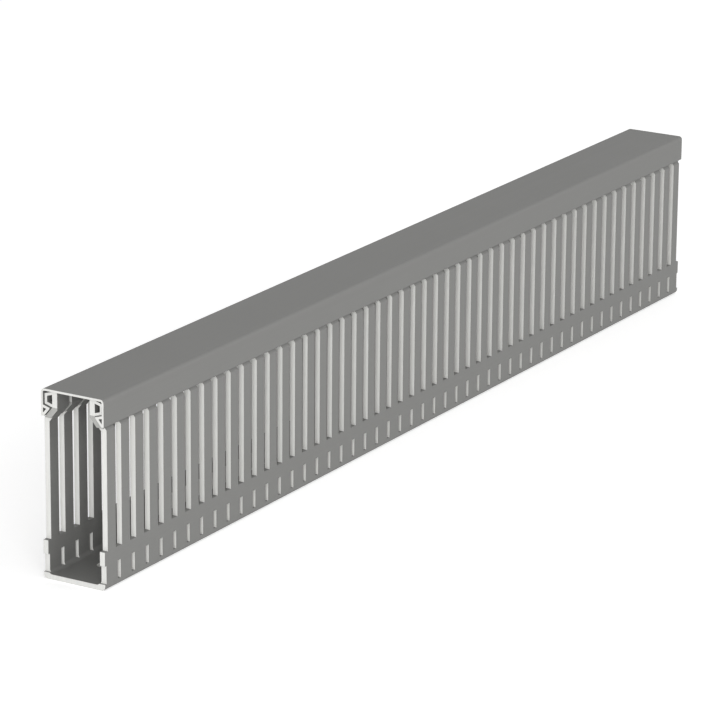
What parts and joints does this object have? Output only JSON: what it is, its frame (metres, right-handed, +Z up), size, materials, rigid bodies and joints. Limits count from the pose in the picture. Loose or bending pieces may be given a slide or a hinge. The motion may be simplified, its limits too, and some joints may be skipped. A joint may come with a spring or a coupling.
{
  "type": "slotted wire duct",
  "caption": "Straight slotted wire duct: U-shaped trough with open T-headed fingers along both walls and a hooked cover that slides along them.",
  "frame": {"origin": "middle of the trough's underside, halfway along the duct", "axes": "+X along the duct, +Y across it, +Z up from the floor towards the cover"},
  "size_m": [0.5, 0.03, 0.08],
  "materials": {
    "trough_pvc": "smooth extruded rigid PVC, grey, satin to matt",
    "cover_pvc": "smooth extruded rigid PVC, grey, satin to matt"
  },
  "bodies": {
    "trough": {"duct_trough": "trough_pvc"},
    "cover": {"duct_cover": "cover_pvc"}
  },
  "joints": [
    {"name": "cover_slide", "type": "slide", "parent": "trough", "child": "cover", "axis": [1, 0, 0], "range_m": [-0.51, 0.51]}
  ]
}
